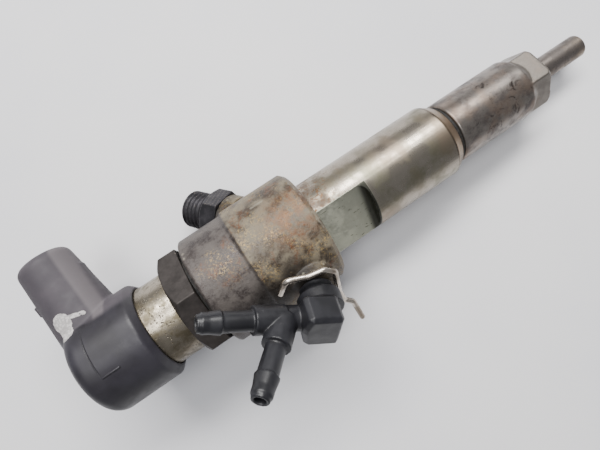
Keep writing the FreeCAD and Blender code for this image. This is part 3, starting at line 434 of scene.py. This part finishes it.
def nut_steel():
    """Heat-stained nut, darker blotches, tan sheen and a lighter hexagon end."""
    look = Look("nut_steel", metallic=0.9)
    x = look.axis("X")
    cloud = look.ramp(look.grain(4 * MM, 6, 0.65, look.stretched(0.8, 1, 1)), 0.36, 0.66)
    colour = look.mix(cloud, rgb(132, 126, 120), rgb(88, 82, 79))
    tan = look.ramp(look.grain(8 * MM, 4, 0.6), 0.44, 0.62)
    colour = look.mix(look.times(tan, 0.4), colour, rgb(142, 122, 106))
    black = look.ramp(look.grain(3.2 * MM, 6, 0.7, None, 0.8), 0.54, 0.68)
    middle = look.between(x, -27 * MM, -9 * MM, 3 * MM)
    stained = look.times(black, look.maths("ADD", look.times(middle, 0.55), 0.35))
    colour = look.mix(stained, colour, rgb(44, 38, 36))
    end = look.ramp(x, -7.6 * MM, -6.4 * MM)
    colour = look.mix(look.times(end, 0.55), colour, rgb(132, 126, 118))
    rough = look.ramp(cloud, 0, 1, 0.3, 0.46)
    look.bump(look.grain(0.5 * MM, 5, 0.7), 0.03 * MM, 0.6)
    return look.paint(colour, rough)


def blackened(name, dark, light, rough=0.5, rub=rgb(120, 112, 104)):
    """Blackened steel, rubbed grey on its edges."""
    look = Look(name, metallic=0.6)
    blotch = look.ramp(look.grain(2.5 * MM, 6, 0.65), 0.35, 0.68)
    colour = look.mix(blotch, dark, light)
    colour = look.mix(look.times(look.edges(0.53, 0.62), 0.5), colour, rub)
    roughness = look.ramp(look.grain(1.5 * MM, 5), 0.3, 0.7, rough - 0.08, rough + 0.12)
    look.bump(look.grain(0.5 * MM, 5), 0.03 * MM, 0.5)
    return look.paint(colour, roughness)


def rubber():
    look = Look("seal_rubber", specular=0.3)
    colour = look.mix(look.ramp(look.grain(1 * MM, 4), 0.4, 0.7), rgb(20, 19, 18), rgb(42, 38, 34))
    return look.paint(colour, look.ramp(look.grain(0.6 * MM), 0.3, 0.7, 0.55, 0.75))


def table_top():
    look = Look("table_top", specular=0.25)
    broad = look.ramp(look.grain(90 * MM, 3), 0.3, 0.7)
    colour = look.mix(broad, rgb(214, 214, 218), rgb(222, 221, 222))
    return look.paint(colour, 0.55)


# ---------------------------------------------------------------- stage, lights and camera
def stand():
    """Table under the nut and the inlet union, on which the injector rests."""
    low = min(
        vertex.co.z - TABLE_SLOPE * vertex.co.x
        for item in NODES.values()
        for vertex in item.data.vertices
    )
    outline = [(x * TABLE_HALF, y * TABLE_HALF) for x, y in ((-1, -1), (1, -1), (1, 1), (-1, 1))]
    mesh = bpy.data.meshes.new("table")
    mesh.from_pydata([(x, y, low + TABLE_SLOPE * x) for x, y in outline], [], [(0, 1, 2, 3)])
    table = bpy.data.objects.new("table", mesh)
    bpy.context.scene.collection.objects.link(table)
    mesh.materials.append(table_top())


def area_light(name, place, target, size, power, colour=(1, 1, 1)):
    data = bpy.data.lights.new(name, "AREA")
    data.shape = "RECTANGLE"
    data.size, data.size_y = size
    data.energy = power
    data.color = colour
    lamp = bpy.data.objects.new(name, data)
    lamp.location = place
    lamp.rotation_euler = (Vector(target) - Vector(place)).to_track_quat("-Z", "Y").to_euler()
    bpy.context.scene.collection.objects.link(lamp)


def studio():
    world = bpy.data.worlds.new("studio")
    world.use_nodes = True
    background = world.node_tree.nodes["Background"]
    background.inputs["Color"].default_value = (0.93, 0.95, 1.0, 1.0)
    background.inputs["Strength"].default_value = 0.34
    bpy.context.scene.world = world
    centre = (-0.07, 0.0, 0.0)
    area_light("window", (0.02, 0.46, 0.6), centre, (0.8, 0.2), 13.0, (1.0, 0.99, 0.975))
    area_light("ceiling", (-0.3, 0.1, 0.9), centre, (0.4, 0.4), 4.5)


def camera():
    """Looks nearly straight down, a little from the cap's end, with the axis running up to the right."""
    data = bpy.data.cameras.new("camera")
    data.sensor_width = 36.0
    data.lens = 24.6
    data.clip_start = 0.005
    view = bpy.data.objects.new("camera", data)
    right = Vector((0.8255, -0.5573, 0.0895))
    up = Vector((0.5524, 0.8302, 0.0749))
    back = right.cross(up).normalized()
    up = back.cross(right).normalized()
    turn = Matrix((right.normalized(), up, back)).transposed().to_4x4()
    view.matrix_world = Matrix.Translation((-0.0965, 0.0, 0.1149)) @ turn
    bpy.context.scene.collection.objects.link(view)
    bpy.context.scene.camera = view


# ---------------------------------------------------------------- pieces over the CAD nodes
def add_piece(name, mesh, node):
    """Shows a mesh that rides on the node's body and wears its material."""
    piece = bpy.data.objects.new(name, mesh)
    bpy.context.scene.collection.objects.link(piece)
    mesh.materials.clear()
    mesh.materials.append(LOOKS[SLOT_OF[node]])
    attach(piece, BODY_OF[node])
    return piece


def softened(node, voxel, passes):
    """A copy of the node's mesh with its edges rounded as forging, moulding or wear leaves them."""
    piece = add_piece(node + "_finish", NODES[node].data.copy(), node)
    volume = piece.modifiers.new("even_mesh", "REMESH")
    volume.mode = "VOXEL"
    volume.voxel_size = voxel
    volume.use_smooth_shade = True
    soften = piece.modifiers.new("soften", "SMOOTH")
    soften.factor = 0.5
    soften.iterations = passes
    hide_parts(node)
    return piece


def raised_bar():
    """Small round-ended bar moulded on the cap: a ball drawn out along the axis."""
    tool = bmesh.new()
    bmesh.ops.create_icosphere(tool, subdivisions=3, radius=0.3 * MM)
    for vertex in tool.verts:
        end = BAR_REAR if vertex.co.x < 0 else BAR_FRONT
        vertex.co = vertex.co + Vector(end)
    mesh = bpy.data.meshes.new("cap_bar")
    tool.to_mesh(mesh)
    tool.free()
    for face in mesh.polygons:
        face.use_smooth = True
    add_piece("cap_bar", mesh, "connector_cap")


def dress():
    """Gives every CAD node the material of its slot."""
    for part, slot in SLOT_OF.items():
        item = NODES[part]
        item.data.materials.clear()
        item.data.materials.append(LOOKS[slot])


LOOKS = {
    "cap_plastic": cap_plastic(),
    "tee_plastic": moulded("tee_plastic", rgb(22, 22, 25), rgb(32, 32, 36), 0.4),
    "tube_steel": tube_steel(),
    "body_steel": body_steel(),
    "nut_steel": nut_steel(),
    "nozzle_steel": worn_steel("nozzle_steel", rgb(132, 124, 118), rgb(104, 98, 94), 0.34, 0.3),
    "ground_steel": worn_steel("ground_steel", rgb(200, 200, 198), rgb(180, 180, 176), 0.22, 0.0),
    "black_nut": blackened("black_nut", rgb(50, 46, 44), rgb(62, 57, 55), 0.5),
    "black_oxide": blackened("black_oxide", rgb(40, 39, 42), rgb(58, 56, 60), 0.44),
    "clip_wire": worn_steel("clip_wire", rgb(205, 196, 184), rgb(150, 138, 124), 0.22, 0.3),
    "seal_rubber": rubber(),
    "terminal_metal": worn_steel("terminal_metal", rgb(205, 196, 160), rgb(180, 168, 130), 0.25, 0.0),
    "spring_steel": worn_steel("spring_steel", rgb(150, 150, 150), rgb(120, 118, 114), 0.3, 0.1),
    "ceramic": worn_steel("ceramic", rgb(200, 190, 165), rgb(180, 168, 140), 0.5, 0.0,
                          rgb(170, 155, 130), 0.0),
}

dress()
for softened_node, (voxel_size, smooth_passes) in FINISHES.items():
    softened(softened_node, voxel_size * MM, smooth_passes)
raised_bar()
stand()
studio()
camera()
